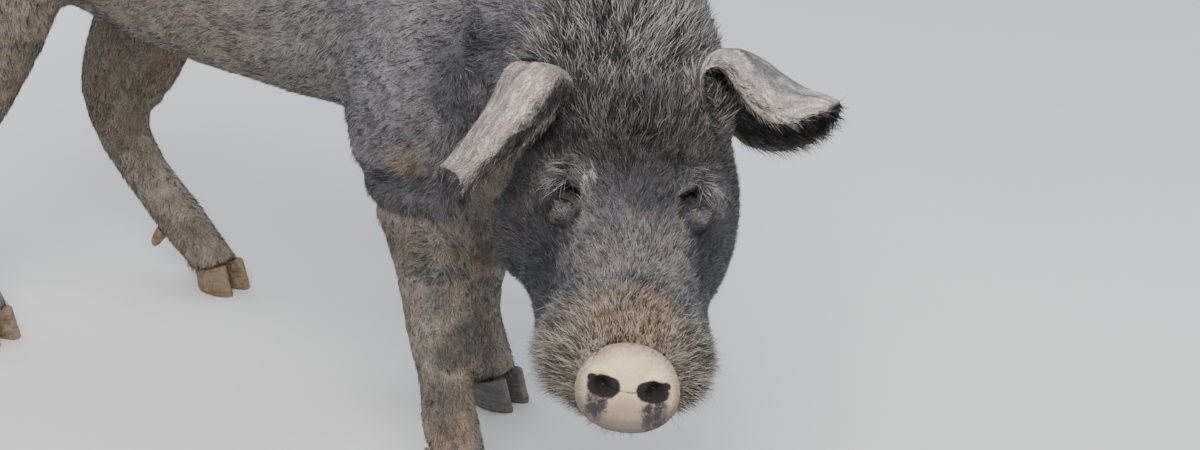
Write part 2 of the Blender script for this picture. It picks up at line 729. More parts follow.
def worked_skin(frame, head):
    skin = Skin(finer_head(with_ears(blended_flesh(frame), head), head), frame, head)
    shape_ears(skin)
    skin.raise_by(-coat_depth(skin))
    out, back, up = skin.local.T
    cheek = smoothstep(0.060, 0.090, np.abs(out)) * bell(back - 0.190, 0.065)
    cheek = cheek * smoothstep(0.07, 0.04, np.abs(up)) * skin.on_head()
    skin.points = skin.points + cheek[:, None] * turned(np.array((CHEEK_LEAN, 0.0, 0.0)), head)
    skin.refresh()
    for path, depth, width, both in HEAD_FOLDS:
        for side in (-1, 1) if both else (1,):
            fold(skin, metres(path) * (side, 1, 1), depth, width, head)
    for node, shares, depth, width in BODY_FOLDS:
        fold(skin, in_box(node, shares), depth, width)
    skin.refresh()
    for side in SIDES:
        shape_eye(skin, side)
    skin.refresh()
    calm = 1 - 0.8 * skin.on_head()
    rolling = 0.0022 * noise(skin.points, 0.080, 1) + 0.0007 * noise(skin.points, 0.022, 2)
    fine = 0.00035 * noise(skin.points, 0.007, 3)
    skin.raise_by((rolling * calm + fine) * ~skin.ears)
    skin.refresh()
    skin.mesh.shade_smooth()
    return skin


# ---- markings

TINTS = {
    "slate": (0.100, 0.098, 0.103),
    "cool": (0.185, 0.178, 0.182),
    "ash": (0.160, 0.144, 0.138),
    "indigo": (0.028, 0.030, 0.046),
    "black": (0.018, 0.018, 0.021),
    "warm": (0.235, 0.200, 0.158),
    "olive": (0.195, 0.163, 0.118),
    "ochre": (0.240, 0.160, 0.092),
    "dust": (0.340, 0.290, 0.235),
    "pale": (0.540, 0.480, 0.440),
    "rim": (0.720, 0.620, 0.550),
    "pink": (0.480, 0.400, 0.355),
}
HEAD_MARKS = (  # tint, place and reach in the head's frame (mm), strength, dust, both sides
    ("cool", (0, 360, 60), (140, 60, 120), 0.80, 0.40, False),
    ("black", (0, 282, 70), (95, 44, 60), 0.74, 0.15, False),
    ("black", (0, 222, 70), (50, 46, 40), 0.72, 0.35, False),
    ("black", (105, 240, -30), (40, 75, 60), 0.80, 0.05, True),
    ("indigo", (85, 165, -12), (34, 70, 52), 0.95, 0.05, True),
    ("warm", (0, 45, 0), (75, 62, 75), 0.98, 0.75, False),
    ("ash", (0, 120, 50), (52, 52, 36), 0.85, 0.80, False),
    ("dust", (40, 150, 40), (11, 42, 26), 0.36, 0.85, True),
    ("dust", (44, 204, 50), (8, 24, 20), 0.42, 0.80, True),
    ("black", (74, 188, 12), (22, 42, 36), 0.80, 0.05, True),
    ("ochre", (0, 46, 40), (42, 36, 22), 0.70, 0.60, False),
    ("black", (64, 210, 40), (32, 34, 34), 0.75, 0.10, True),
    ("black", (-27, 240, 85), (23, 8, 30), 0.92, 0.05, False),
    ("black", (34, 246, 88), (21, 8, 30), 0.92, 0.05, False),
    ("pale", (-38, 216, 68), (3.2, 8, 12), 0.55, 0.60, False),
    ("pale", (-45, 212, 66), (2.4, 6, 12), 0.45, 0.60, False),
    ("black", (0, 30, -62), (62, 60, 24), 0.85, 0.10, False),
)
BODY_MARKS = (  # tint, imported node, place as shares of its box, reach, strength, dust
    ("indigo", "trunk", (0.02, 0.055, 0.37), (0.08, 0.075, 0.105), 0.95, 0.05),
    ("indigo", "trunk", (0.98, 0.11, 0.44), (0.07, 0.080, 0.110), 0.55, 0.10),
    ("indigo", "neck", (0.05, 0.58, 0.30), (0.06, 0.050, 0.085), 0.92, 0.05),
    ("indigo", "right_fore_upper", (0.20, 0.40, 1.00), (0.07, 0.070, 0.030), 0.72, 0.12),
    ("indigo", "left_fore_upper", (0.80, 0.40, 1.00), (0.07, 0.070, 0.028), 0.60, 0.15),
    ("ochre", "trunk", (0.03, 0.16, 0.185), (0.024, 0.026, 0.020), 0.85, 0.75),
    ("ochre", "right_hind_upper", (0.10, 0.35, 0.50), (0.05, 0.090, 0.080), 0.35, 0.45),
    ("ochre", "left_hind_upper", (0.90, 0.40, 0.35), (0.07, 0.090, 0.080), 0.40, 0.45),
    ("black", "right_fore_lower", (0.40, 0.10, 0.86), (0.05, 0.030, 0.030), 0.55, 0.25),
    ("black", "left_fore_lower", (0.40, 0.10, 0.86), (0.05, 0.030, 0.030), 0.45, 0.25),
    ("black", "right_fore_lower", (0.15, 0.30, 0.50), (0.020, 0.030, 0.040), 0.40, 0.20),
    ("ochre", "right_fore_lower", (0.55, 0.05, 0.55), (0.022, 0.030, 0.050), 0.60, 0.60),
    ("dust", "left_hind_lower", (0.40, 0.30, 0.42), (0.060, 0.090, 0.055), 0.70, 0.80),
    ("dust", "right_hind_lower", (0.40, 0.30, 0.42), (0.060, 0.090, 0.055), 0.70, 0.80),
)


class Marks:
    """The skin's tint and dust, laid on in layers."""

    def __init__(self, points):
        self.tint = np.tile(TINTS["slate"], (len(points), 1))
        self.dust = np.full(len(points), 0.35)
        flaked = noise(points, 0.013, 25) + 0.6 * noise(points, 0.005, 26)
        self.broken = 0.45 + 0.75 * smoothstep(-0.45, 0.55, flaked)

    def lay(self, tint, share, dust):
        """Covers a share of what is there; dry layers are broken up."""
        if tint in ("dust", "ochre", "pale"):
            share = share * self.broken
        self.tint += share[:, None] * (np.array(TINTS[tint]) - self.tint)
        self.dust += share * (dust - self.dust)


def blotch(points, place, reach, seed):
    """1 at a place, 0 beyond its reach, with a ragged border."""
    away = np.linalg.norm((points - place) / reach, axis=1)
    size = min(reach)
    ragged = away + 0.28 * noise(points, size, seed) + 0.14 * noise(points, size * 0.3, seed + 1)
    return smoothstep(1.25, 0.60, ragged)


def mark_body(marks, skin):
    points = skin.points
    height = points[:, 2]
    broad = noise(points, 0.11, 21)
    patchy = noise(points, 0.035, 22)
    behind = smoothstep(-0.16, 0.10, points[:, 1])
    marks.lay("cool", 0.90 * smoothstep(0.33, 0.50, height + 0.05 * broad), 0.45)
    marks.lay("warm", 0.80 * behind * smoothstep(0.68, 0.50, height + 0.05 * broad), 0.62)
    marks.lay("olive", 0.70 * behind * smoothstep(0.45, 0.36, height + 0.03 * patchy), 0.60)
    legs = sum(skin.owner[name] for name in LIMB_PIECES) * smoothstep(0.42, 0.30, height)
    hind = sum(skin.owner[name] for name in LIMB_PIECES if "hind" in name) > 0
    marks.lay("warm", 0.90 * legs, 0.65)
    marks.lay("ochre", 0.55 * legs * smoothstep(0.0, 0.5, patchy), 0.75)
    marks.lay("olive", 0.70 * hind * smoothstep(0.55, 0.45, height), 0.60)
    marks.lay("slate", 0.50 * legs * ~hind * smoothstep(0.1, 0.6, noise(points, 0.028, 24)), 0.30)
    marks.lay("dust", 0.40 * smoothstep(0.10, 0.02, height), 0.85)
    for index, (tint, node, share, reach, strength, dust) in enumerate(BODY_MARKS):
        place = np.array(in_box(node, (share,))[0])
        marks.lay(tint, strength * blotch(points, place, reach, 40 + 2 * index), dust)


def mark_head(marks, skin):
    head = skin.on_head()
    marks.lay("slate", head, 0.35)
    for index, (tint, place, reach, strength, dust, both) in enumerate(HEAD_MARKS):
        for side in (-1, 1) if both else (1,):
            spot = metres(place) * (side, 1, 1)
            share = strength * blotch(skin.local, spot, metres(reach), 80 + 4 * index + side)
            marks.lay(tint, share * smoothstep(0.0, 0.4, head), dust)


def mark_eyes(marks, skin):
    for side in SIDES:
        along, across, out, reach = skin.from_eye(side)
        close = (out > -0.02) & (reach < EYE_FORMS_END)
        middle_line, half = slit_lines(along)
        above = across - middle_line
        bag = smoothstep(0.0180, 0.0100, reach) * smoothstep(0.0045, -0.0030, above)
        slit = smoothstep(0.0022, 0.0006, np.abs(above) - half) * (np.abs(along) < 0.014)
        marks.lay("black", close * socket_ring(along, across, reach, 0.0170, 0.0050, 0.45), 0.05)
        marks.lay("black", close * 0.95 * brow_hollow(along, across, 0.018, 0.0085), 0.0)
        marks.lay("ash", close * bag * 0.50, 0.80)
        marks.lay("black", close * slit * 0.85, 0.0)


def mark_ears(marks, skin):
    """Pale dry outer faces with lines along them, and dark inner ones."""
    for side in SIDES:
        mine, along, across, outer = skin.on_ear(side)
        points = skin.points[mine]
        grain = noise(points, 0.010, 31)
        past_root = smoothstep(0.02, 0.16, along + 0.05 * grain)
        top = smoothstep(-0.0004, 0.0006, outer)
        face = past_root * top
        crease = bell(across - 0.66 + 0.10 * along, 0.045) * smoothstep(0.15, 0.4, along)
        rim = np.maximum(smoothstep(0.055, 0.0, across), smoothstep(0.945, 1.0, across))
        line = np.maximum(bell(across - 0.10, 0.022), bell(across - 0.90, 0.022))
        inside_tip = smoothstep(0.88, 0.96, along) * (1 - top) * (side == "right")
        short = smoothstep(0.95, 0.75, along)
        own = {
            "left": (
                ("rim", 0.60 * top * smoothstep(0.62, 0.85, along), 0.7),
                ("cool", 0.72 * face * bell(across - 0.42, 0.17) * smoothstep(0.80, 0.60, along), 0.5),
                ("slate", 0.80 * face * bell(across - 0.21, 0.025), 0.3),
                ("slate", 0.55 * face * bell(across - 0.62, 0.045), 0.3),
                ("rim", 0.60 * face * smoothstep(0.17, 0.11, across), 0.7),
            ),
            "right": (
                ("pink", 0.62 * face, 0.8),
                ("black", 0.80 * face * smoothstep(0.27, 0.12, across + 0.06 * grain) * short, 0.2),
                ("slate", 0.60 * face * smoothstep(0.68, 0.80, across + 0.04 * grain) * short, 0.4),
                ("cool", 0.75 * face * bell(across - 0.52 + 0.12 * along, 0.040), 0.3),
                ("rim", 0.35 * top * bell(across - 0.40, 0.10), 0.7),
            ),
        }[side]
        layers = (
            ("black", 0.72 * (1 - top), 0.10),
            ("pale", face * (0.80 + 0.15 * grain), 0.75),
            ("slate", 0.75 * face * crease, 0.40),
            ("cool", 0.3 * face * smoothstep(0.25, 0.7, noise(points, 0.016, 32)), 0.5),
            ("warm", 0.6 * face * smoothstep(0.30, 0.62, noise(points, 0.022, 33)), 0.7),
            ("pale", 0.85 * inside_tip, 0.70),
            ("black", 0.60 * past_root * smoothstep(0.1, 0.3, along) * line, 0.20),
            *own,
            ("pink", past_root * smoothstep(0.04, 0.3, along) * rim * 0.60, 0.60),
            ("black", 0.85 * smoothstep(0.965, 1.0, along + 0.02 * grain) * (side == "left"), 0.10),
        )
        for tint, share, dust in layers:
            spread = np.zeros(len(skin.points))
            spread[mine] = share
            marks.lay(tint, spread, dust)


def markings(skin):
    marks = Marks(skin.points)
    mark_body(marks, skin)
    mark_head(marks, skin)
    mark_eyes(marks, skin)
    mark_ears(marks, skin)
    return marks


# ---- materials


class Recipe:
    """A material's nodes, made and linked in short lines."""

    def __init__(self, name):
        self.material = bpy.data.materials.new(name)
        self.material.use_nodes = True
        self.tree = self.material.node_tree
        self.shader = self.tree.nodes["Principled BSDF"]
        self.place = self.node("ShaderNodeTexCoord").outputs["Object"]

    def node(self, kind, **settings):
        node = self.tree.nodes.new(kind)
        for name, value in settings.items():
            setattr(node, name, value)
        return node

    def feed(self, socket, value):
        """Links a socket, or sets it to a number or a colour."""
        if isinstance(value, bpy.types.NodeSocket):
            self.tree.links.new(value, socket)
        elif isinstance(value, tuple) and len(value) == 3 and socket.type == "RGBA":
            socket.default_value = (*value, 1.0)
        else:
            socket.default_value = value

    def fed(self, node, **values):
        for name, value in values.items():
            self.feed(node.inputs[name.replace("_", " ")], value)
        return node

    def grain(self, scale, detail=4.0, roughness=0.6, stretch=None, place=None):
        """Noise from 0 to 1; its scale is in bumps to a metre."""
        place = place or self.place
        if stretch is not None:
            mapping = self.fed(self.node("ShaderNodeMapping"), Scale=stretch, Vector=place)
            place = mapping.outputs["Vector"]
        node = self.node("ShaderNodeTexNoise")
        self.fed(node, Scale=scale, Detail=detail, Roughness=roughness, Vector=place)
        return node.outputs["Fac"]

    def cells(self, scale, feature="F1"):
        node = self.node("ShaderNodeTexVoronoi", feature=feature)
        return self.fed(node, Scale=scale, Vector=self.place).outputs["Distance"]

    def span(self, value, low, high, start=0.0, end=1.0):
        """The value's way from low to high, as a smooth step from start to end."""
        node = self.node("ShaderNodeMapRange", interpolation_type="SMOOTHSTEP")
        self.fed(node, Value=value, From_Min=low, From_Max=high, To_Min=start, To_Max=end)
        return node.outputs["Result"]

    def math(self, operation, first, second):
        node = self.node("ShaderNodeMath", operation=operation)
        self.feed(node.inputs[0], first)
        self.feed(node.inputs[1], second)
        return node.outputs[0]

    def plus(self, first, second):
        return self.math("ADD", first, second)

    def times(self, first, second):
        return self.math("MULTIPLY", first, second)

    def mix(self, share, first, second):
        node = self.node("ShaderNodeMix", data_type="RGBA")
        for socket, value in ((0, share), (6, first), (7, second)):  # factor and the two colours
            self.feed(node.inputs[socket], value)
        return node.outputs[2]

    def shade(self, colour, amount):
        """The colour made darker or lighter by a factor."""
        node = self.node("ShaderNodeVectorMath", operation="SCALE")
        self.feed(node.inputs[0], colour)
        return self.fed(node, Scale=amount).outputs[0]

    def attribute(self, name, output="Fac"):
        return self.node("ShaderNodeAttribute", attribute_name=name).outputs[output]

    def bump(self, height, distance, strength=1.0, under=None):
        node = self.node("ShaderNodeBump")
        self.fed(node, Distance=distance, Strength=strength, Height=height)
        if under is not None:
            self.fed(node, Normal=under)
        return node.outputs["Normal"]

    def finish(self, colour, roughness, normal, specular):
        self.fed(self.shader, Base_Color=colour, Roughness=roughness, Normal=normal)
        self.shader.inputs["Specular IOR Level"].default_value = specular
        return self.material


def skin_material():
    """Creased skin under dust: fine flakes of it, dark pores, and veins along the ears."""
    r = Recipe("hide")
    tint = r.attribute("tint", "Color")
    speckle = r.grain(420, 4, 0.7)
    streaks = r.grain(240, 3, 0.6, (3.0, 1.0, 1.0))
    colour = r.shade(tint, r.span(r.grain(55, 5), 0.25, 0.75, 0.62, 1.38))
    flakes = r.times(r.span(speckle, 0.50, 0.72), r.times(r.attribute("dust"), 0.75))
    colour = r.mix(flakes, colour, r.mix(0.5, r.shade(tint, 2.2), TINTS["dust"]))
    on_ear = r.attribute("eared")
    veins = r.grain(480, 4, 0.70, (0.11, 1.0, 0.0), r.attribute("sheet", "Vector"))
    shadows = r.times(r.span(veins, 0.56, 0.43), r.times(on_ear, 0.58))
    colour = r.mix(shadows, colour, r.shade(tint, 0.30))
    glow = r.times(r.span(veins, 0.54, 0.68), r.times(on_ear, 0.50))
    colour = r.mix(glow, colour, r.shade(tint, 1.45))
    pores = r.times(r.span(r.grain(760, 3, 0.6), 0.50, 0.64), 0.75)
    colour = r.mix(pores, colour, r.shade(tint, 0.30))
    low = r.bump(r.plus(streaks, r.times(speckle, 0.5)), 0.0012)
    low = r.bump(r.times(veins, on_ear), 0.0030, 0.9, low)
    fine = r.bump(r.span(r.cells(520, "DISTANCE_TO_EDGE"), 0.0, 0.16), 0.00045, 0.8, low)
    return r.finish(colour, r.span(speckle, 0.3, 0.7, 0.60, 0.86), fine, 0.35)


def hair_material(name, light, share, shine):
    """Bristles: dark or pale from one to the next, and tinted like the skin at their roots."""
    r = Recipe(name)
    tint = r.attribute("tint", "Color")
    dark = r.shade(tint, 0.20)
    own = r.mix(r.attribute("pale"), dark, r.mix(share, r.shade(tint, 2.3), light))
    colour = r.mix(r.span(r.attribute("tip"), 0.0, 0.9, 0.30, 1.0), dark, own)
    colour = r.shade(colour, r.span(r.grain(700, 2), 0.3, 0.7, 0.75, 1.25))
    rough = r.span(r.grain(1200, 1), 0.3, 0.7, shine - 0.08, shine + 0.12)
    return r.finish(colour, rough, r.bump(r.grain(2500, 1), 0.0001), 0.4)


def disc_material():
    """Bare cream skin with dark specks, wet nostrils and grime round its edge."""
    r = Recipe("disc")
    stain = r.attribute("stain")
    ragged = r.grain(360, 5, 0.75)
    cream = (0.675, 0.530, 0.315)
    colour = r.mix(r.span(r.grain(70, 5, 0.6), 0.35, 0.68), cream, (0.54, 0.41, 0.240))
    flush = r.times(r.span(r.grain(150, 4), 0.52, 0.66), 0.5)
    colour = r.mix(flush, colour, (0.62, 0.42, 0.36))
    specks = r.times(r.span(r.cells(520), 0.20, 0.12), r.span(r.grain(110, 2), 0.50, 0.62))
    colour = r.mix(r.times(specks, 0.8), colour, (0.075, 0.062, 0.058))
    colour = r.mix(r.times(r.attribute("low"), 0.84), colour, (0.185, 0.142, 0.104))
    grime = r.span(r.plus(r.attribute("edge"), r.times(ragged, 0.5)), 0.90, 1.36)
    colour = r.mix(grime, colour, (0.130, 0.102, 0.084))
    torn = r.plus(r.times(ragged, 0.8), r.grain(150, 3, 0.6))
    wet = r.span(r.plus(stain, torn), 1.18, 1.66)
    damp = r.mix(r.span(stain, 0.55, 0.95), (0.042, 0.038, 0.044), (0.012, 0.010, 0.010))
    colour = r.mix(wet, colour, damp)
    low = r.bump(r.grain(140, 4), 0.0016, 0.6)
    fine = r.bump(r.cells(700, "DISTANCE_TO_EDGE"), 0.0005, 0.6, low)
    return r.finish(colour, r.span(wet, 0.0, 1.0, 0.60, 0.90), fine, 0.3)


def eye_material():
    """A dark iris with threads, its pupil, and a duller white round it."""
    r = Recipe("eye")
    ring = r.attribute("iris")
    threads = r.grain(900, 3, 0.6)
    iris = r.mix(threads, (0.026, 0.014, 0.008), (0.010, 0.006, 0.004))
    colour = r.mix(r.span(ring, 0.52, 0.60), iris, (0.036, 0.026, 0.022))
    colour = r.mix(r.span(ring, 0.25, 0.19), colour, (0.002, 0.002, 0.002))
    rough = r.span(r.grain(300, 2), 0.3, 0.7, 0.16, 0.30)
    return r.finish(colour, rough, r.bump(threads, 0.0002, 0.2), 0.3)


def claw_material(name, dark, light, mud):
    """Horn with growth rings, long scratches and dried mud."""
    r = Recipe(name)
    rings = r.grain(90, 3, 0.5, (0.25, 0.25, 6.0))
    scratches = r.grain(260, 4, 0.6, (4.0, 4.0, 0.6))
    cloud = r.plus(r.times(rings, 0.45), r.times(r.grain(60, 5, 0.65), 0.55))
    colour = r.mix(r.span(cloud, 0.38, 0.64), dark, light)
    colour = r.mix(r.times(r.span(scratches, 0.52, 0.70), 0.5), colour, r.shade(light, 1.5))
    dirt = r.span(r.grain(90, 6, 0.75), 0.44, 0.58)
    colour = r.mix(r.times(dirt, 0.7), colour, mud)
    fine = r.bump(r.plus(scratches, dirt), 0.0009, 0.8, r.bump(rings, 0.0010))
    return r.finish(colour, r.span(scratches, 0.3, 0.7, 0.45, 0.75), fine, 0.4)


def floor_material():
    r = Recipe("floor")
    colour = r.mix(r.grain(3, 3), (0.66, 0.655, 0.645), (0.69, 0.685, 0.675))
    return r.finish(colour, 0.9, r.bump(r.grain(300, 2), 0.0003, 0.2), 0.1)


# ---- coat


def atlas(skin):
    """A place from 0 to 1 for every point: each part of the body unrolled round its own length."""
    charts = (("head", "lower_jaw"), ("neck",), ("trunk",), ("tail",), ("ear_right",), ("ear_left",))
    charts += tuple((name,) for name in LIMB_PIECES)
    columns = 4
    result = np.zeros((len(skin.points), 2))
    for index, names in enumerate(charts):
        if names[0].startswith("ear"):
            mine, along, across, outer = skin.on_ear(names[0][4:])
            around = np.where(outer > 0, across * 0.5, 1 - across * 0.5)
        else:
            mine = np.any([skin.owner[name] for name in names], axis=0)
            points = skin.points[mine]
            centred = points - points.mean(0)
            axes = np.linalg.svd(centred[:: max(len(centred) // 2000, 1)], full_matrices=False)[2]
            spread = centred @ axes.T
            along = (spread[:, 0] - spread[:, 0].min()) / np.ptp(spread[:, 0])
            around = np.arctan2(spread[:, 1], spread[:, 2]) / math.tau + 0.5
        cell = np.array((index % columns, index // columns))
        inside = 0.03 + 0.94 * np.stack((around, along), 1)
        result[mine] = (cell + inside) / columns
    return result


def coat_lie(skin):
    """Which way the hairs point on every part of the skin, and how far they stand from it."""
    points, local, owner = skin.points, skin.local, skin.owner
    count = len(points)
    lie = np.tile((0.0, 1.0, -0.30), (count, 1))
    lift = np.full(count, 0.30)
    front = smoothstep(0.02, -0.20, points[:, 1]) * smoothstep(0.62, 0.48, points[:, 2])
    lie += front[:, None] * (np.array((0.0, 0.85, -0.60)) - lie)
    back_along_head = turned(np.array((0.0, 1.0, 0.05)), skin.head)
    on_neck = owner["neck"] * smoothstep(-0.12, -0.36, points[:, 1])
    lie += on_neck[:, None] * (back_along_head + np.array((0, 0.2, -0.2)) - lie)
    for name in LIMB_PIECES:
        lie[owner[name]] = (0.0, 0.45, -1.0) if "hind_upper" in name else (0.0, 0.18, -1.0)
    lie[owner["tail"]] = (0.0, 0.15, -1.0)
    head = skin.on_head() > 0.5
    side = np.tanh(local[:, 0] / 0.03)
    on_face = np.stack((0.35 * side, np.ones(count), 0.10 - 0.5 * (local[:, 2] < 0)), 1)
    lie[head] = turned(on_face[head], skin.head)
    snout = head & (local[:, 1] < 0.10)
    spread = np.stack((local[:, 0] * 14, np.full(count, 0.5), (local[:, 2] + 0.005) * 12), 1)
    lie[snout] = turned(spread[snout], skin.head)
    lift[snout] = 0.45 + 0.4 * smoothstep(0.09, 0.03, local[snout, 1])
    poll = blotch(local, np.array((0.0, 0.335, 0.100)), (0.085, 0.070, 0.070), 61)
    lift += poll * 0.85
    lie += poll[:, None] * (turned(np.array((0.0, 0.35, 1.0)), skin.head) - lie) * 0.6
    crest = smoothstep(0.055, 0.02, np.abs(points[:, 0] - middle("trunk")[0]))
    crest = crest * skin.normals[:, 2].clip(0, 1)
    lift += 0.25 * crest * (owner["neck"] | owner["trunk"])
    for ear, sign in SIDES.items():
        crests = metres(EAR_ROWS[ear])[:, 0] * (sign, 1, 1)
        lie[owner["ear_" + ear]] = turned(crests[-1] - crests[1], skin.head)
        lift[owner["ear_" + ear]] = 0.35
    return unit(lie), lift


def coat_length(skin):
    """How much longer or shorter the hairs are from place to place."""
    local = skin.local
    snout_side = smoothstep(0.030, 0.055, np.abs(local[:, 0])) * smoothstep(0.11, 0.05, local[:, 1])
    long = 1 + 0.70 * snout_side * skin.on_head()
    long -= 0.35 * smoothstep(0.10, 0.02, skin.points[:, 2])
    for side in SIDES.values():
        away = np.linalg.norm(local - np.array(eye_place(side)), axis=1)
        long -= 0.30 * smoothstep(0.026, 0.015, away)
    elbow = np.array(in_box("right_fore_upper", ((0.2, 0.4, 1.0),))[0])
    return long + 0.10 * blotch(skin.points, elbow, (0.07, 0.08, 0.04), 67)


def coat_areas(skin):
    """Where each piece of coat grows: a share from 0 to 1 for every point of the skin."""
    points, local, owner = skin.points, skin.local, skin.owner
    head = skin.on_head() * ~skin.ears
    poll = blotch(local, np.array((0.0, 0.345, 0.100)), (0.092, 0.070, 0.080), 61)
    forehead = blotch(local, np.array((0.0, 0.280, 0.080)), (0.090, 0.062, 0.060), 63)
    pad = to_local(points, disc_frame(skin.head)) / np.array((DISC_SIZE[0], 1.0, DISC_SIZE[1]))
    under_pad = (np.hypot(pad[:, 0], pad[:, 2]) < 0.44) & (pad[:, 1] < 0.03)
    snout = smoothstep(0.105, 0.075, local[:, 1]) * head * ~under_pad
    off_slits = np.ones(len(local))
    for side in SIDES:
        along, across, out, _ = skin.from_eye(side)
        middle_line, half = slit_lines(along)
        above = np.maximum(np.abs(across - middle_line) - half, 0)
        away = np.hypot(above, np.maximum(np.abs(along) - 0.012, 0))
        off_slits *= np.where(out > -0.02, smoothstep(0.0010, 0.0030, away), 1.0)
    right = points[:, 0] < middle("trunk")[0]
    body = (1 - skin.on_head()) * (owner["trunk"] | owner["neck"])
    limbs = {end: sum(owner[n] for n in LIMB_PIECES if end in n).astype(float) for end in ("fore", "hind")}
    ears = np.zeros(len(local))
    fringe = np.zeros(len(local))
    for side in SIDES:
        mine, along, across, outer = skin.on_ear(side)
        rim = np.maximum(smoothstep(0.10, 0.0, across), smoothstep(0.88, 1.0, across))
        shaggy = smoothstep(0.28, 0.14, across) * (side == "right")
        ears[mine] = 0.35 + 0.65 * (outer > 0)
        fringe[mine] = np.maximum(np.maximum(rim, shaggy) * smoothstep(0.0, 0.1, along), outer < 0)
    hems = np.zeros(len(local))
    for name in LIMB_PIECES:
        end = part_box(name)[0][2]
        hems += owner[name] * smoothstep(end + 0.024, end + 0.010, points[:, 2]) * ("lower" in name)
    return {
        "trunk_right": body * right,
        "trunk_left": body * ~right,
        "body": body,
        "face": head * (1 - snout) * off_slits,
        "snout": snout,
        "poll": poll * ~skin.ears,
        "forehead": forehead * (1 - 0.7 * poll) * ~skin.ears * off_slits,
        "fore": limbs["fore"],
        "hind": limbs["hind"],
        "hems": hems * smoothstep(-0.60, -0.20, skin.normals[:, 2]),
        "tail": owner["tail"].astype(float),
        "ears": ears,
        "fringe": fringe,
    }


COATS = (  # name, area, tufts to a square metre, length, width, lift, bent, paleness, tone
    ("coat_body_right", "trunk_right", 100000, 0.0130, 0.00080, 0.8, False, 0.45, 1.0),
    ("coat_body_left", "trunk_left", 100000, 0.0130, 0.00080, 0.8, False, 0.45, 1.0),
    ("coat_body_flecks", "body", 22000, 0.0140, 0.00095, 0.9, False, 0.95, 1.4),
    ("coat_face", "face", 300000, 0.0080, 0.00060, 1.5, False, 0.40, 0.9),
    ("coat_face_flecks", "face", 60000, 0.0100, 0.00080, 1.4, False, 0.85, 1.3),
    ("coat_snout", "snout", 330000, 0.0118, 0.00046, 1.1, True, 0.50, 1.0),
    ("coat_poll", "poll", 230000, 0.0300, 0.00085, 0.9, True, 0.50, 1.0),
    ("coat_forehead", "forehead", 240000, 0.0150, 0.00070, 1.2, True, 0.42, 1.0),
    ("coat_fore", "fore", 190000, 0.0080, 0.00066, 0.9, False, 0.45, 1.0),
    ("coat_hind", "hind", 160000, 0.0100, 0.00070, 0.9, False, 0.45, 1.0),
    ("coat_hems", "hems", 600000, 0.0220, 0.00080, 0.9, False, 0.45, 0.9),
    ("coat_tail", "tail", 150000, 0.0200, 0.00080, 1.0, False, 0.35, 1.0),
    ("coat_ears", "ears", 130000, 0.0055, 0.00042, 0.8, False, 0.50, 1.0),
    ("coat_fringe", "fringe", 200000, 0.0150, 0.00055, 1.5, True, 0.42, 0.50),
)
TRIANGLE_LIMIT = 190000
PATCH = 0.0013  # half the size of a tuft's patch on the map


class Roots:
    """Picks places on the skin and carries its directions, tint and map to them."""

    def __init__(self, skin, marks):
        self.skin = skin
        self.corners = skin.points[skin.triangles]
        cross = np.cross(self.corners[:, 1] - self.corners[:, 0], self.corners[:, 2] - self.corners[:, 0])
        self.area = np.linalg.norm(cross, axis=1) / 2
        self.lie, self.lift = coat_lie(skin)
        self.long = coat_length(skin)
        self.map = atlas(skin)
        self.marks = marks

    def pick(self, weight, density, rng, limit):
        chance = self.area * weight[self.skin.triangles].mean(1)
        count = min(int(chance.sum() * density), limit)
        chosen = rng.choice(len(chance), count, p=chance / chance.sum())
        first, second = rng.random((2, count))
        over = first + second > 1
        first[over], second[over] = 1 - first[over], 1 - second[over]
        self.share = np.stack((1 - first - second, first, second), 1)
        self.chosen = self.skin.triangles[chosen]
        return count

    def at(self, values):
        picked = values[self.chosen]
        if picked.ndim == 2:
            return (picked * self.share).sum(1)
        return (picked * self.share[:, :, None]).sum(1)

    def own_map(self):
        """The nearest corner's map place, as a chart's border can cut a triangle."""
        nearest = self.share.argmax(1)
        return self.map[self.chosen[np.arange(len(nearest)), nearest]]


def tuft_mesh(name, roots, tips, bends, width, rng, looks):
    """Three-sided spikes from roots to tips, through a bend where there is one."""
    count = len(roots)
    along = unit(tips - roots)
    across = unit(np.cross(along, rng.normal(size=(count, 3))))
    other = np.cross(along, across)
    spokes = [math.cos(a) * across + math.sin(a) * other for a in (0, math.tau / 3, 2 * math.tau / 3)]
    rings = [roots + spoke * width[:, None] / 2 for spoke in spokes]
    steps = [0.0] * 3
    spots = [(-PATCH, -PATCH), (PATCH, -PATCH), (0.0, -PATCH * 0.6)]
    faces = [(2, 1, 0)]
    top = 0
    if bends is not None:
        rings += [bends + spoke * width[:, None] * 0.36 for spoke in spokes]
        steps += [0.5] * 3
        spots += [(-PATCH * 0.6, 0.0), (PATCH * 0.6, 0.0), (0.0, PATCH * 0.3)]
        faces += [(0, 1, 4), (0, 4, 3), (1, 2, 5), (1, 5, 4), (2, 0, 3), (2, 3, 5)]
        top = 3
    rings.append(tips)
    steps.append(1.0)
    spots.append((0.0, PATCH))
    faces += [(top, top + 1, top + 3), (top + 1, top + 2, top + 3), (top + 2, top, top + 3)]
    size = len(rings)
    points = np.stack(rings, 1).reshape(-1, 3)
    triangles = (np.arange(count)[:, None, None] * size + np.array(faces)[None]).reshape(-1, 3)
    mesh = array_mesh(name, points, triangles)
    patch = looks["map"][:, None] + np.array(spots)[None]
    layer = mesh.uv_layers.new(name="OFBake")
    layer.data.foreach_set("uv", patch.reshape(-1, 2)[triangles.ravel()].astype(np.float32).ravel())
    set_masks(mesh, {"tip": np.tile(steps, count), "pale": np.repeat(looks["pale"], size)})
    set_tint(mesh, np.repeat(looks["tint"], size, axis=0))
    mesh.shade_smooth()
    return mesh


def set_tint(mesh, colours):
    attribute = mesh.attributes.new("tint", "FLOAT_COLOR", "POINT")
    whole = np.ones((len(colours), 4), np.float32)
    whole[:, :3] = colours
    attribute.data.foreach_set("color", whole.ravel())


